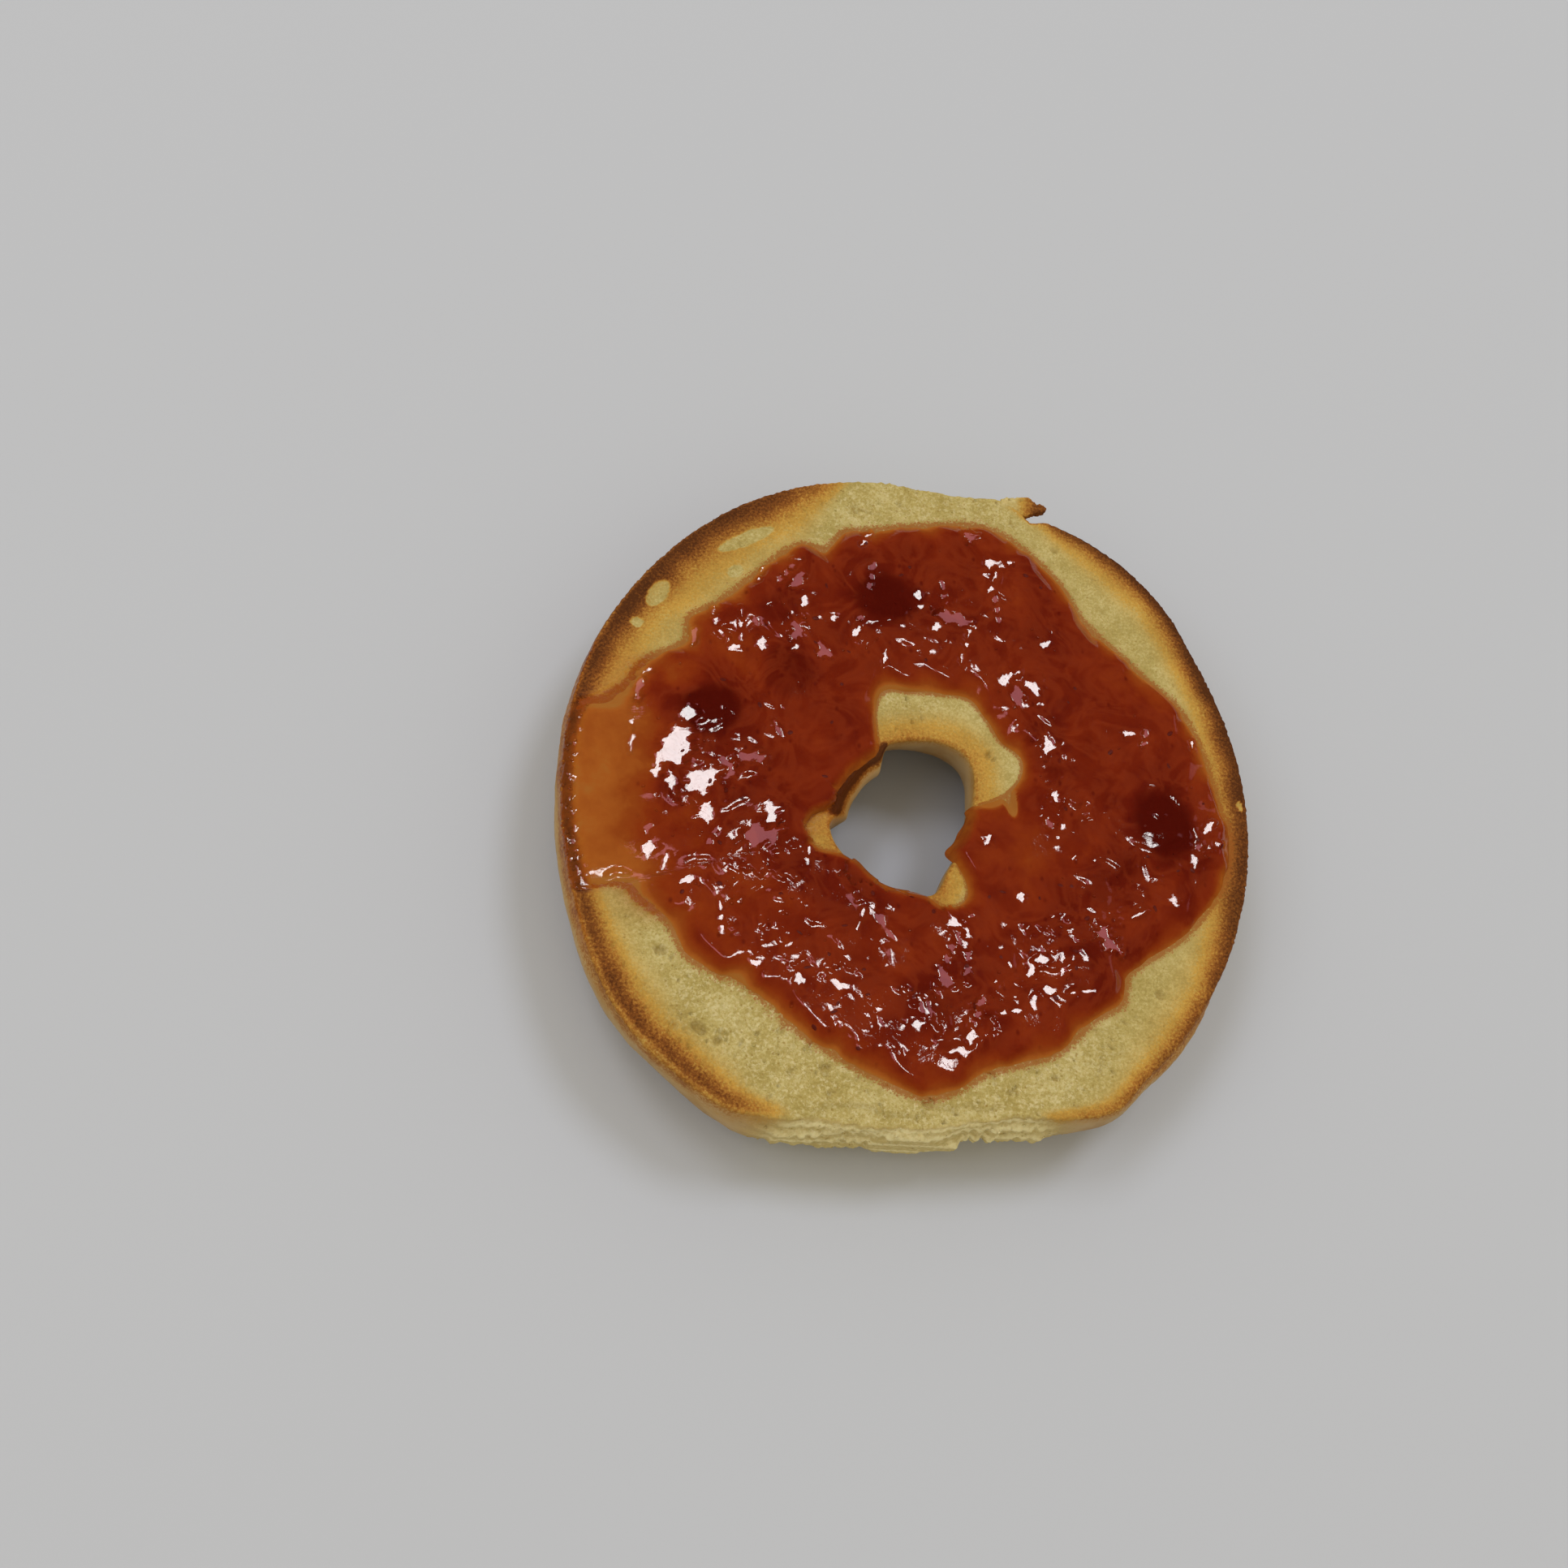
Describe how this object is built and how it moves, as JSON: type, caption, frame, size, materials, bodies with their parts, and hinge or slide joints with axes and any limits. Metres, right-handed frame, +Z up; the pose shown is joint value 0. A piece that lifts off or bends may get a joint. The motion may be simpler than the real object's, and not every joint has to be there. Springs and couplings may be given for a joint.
{
  "type": "bagel half",
  "caption": "Half of a sliced, toasted bagel lying cut side up, spread with red jam that leaves the rim and a patch by the hole bare.",
  "frame": {"origin": "on the surface that the crust rests on, under the middle of the outline", "axes": "+Z up out of the cut face; +Y towards the straight torn side by the loose flake of crust; +X towards the side where the jam comes nearest the rim without running over it"},
  "size_m": [0.105, 0.105, 0.0187],
  "materials": {
    "bagel_half": "matte",
    "jam": "gloss"
  },
  "bodies": {
    "root": {"bagel_half": "bagel_half", "jam": "jam"}
  },
  "joints": []
}
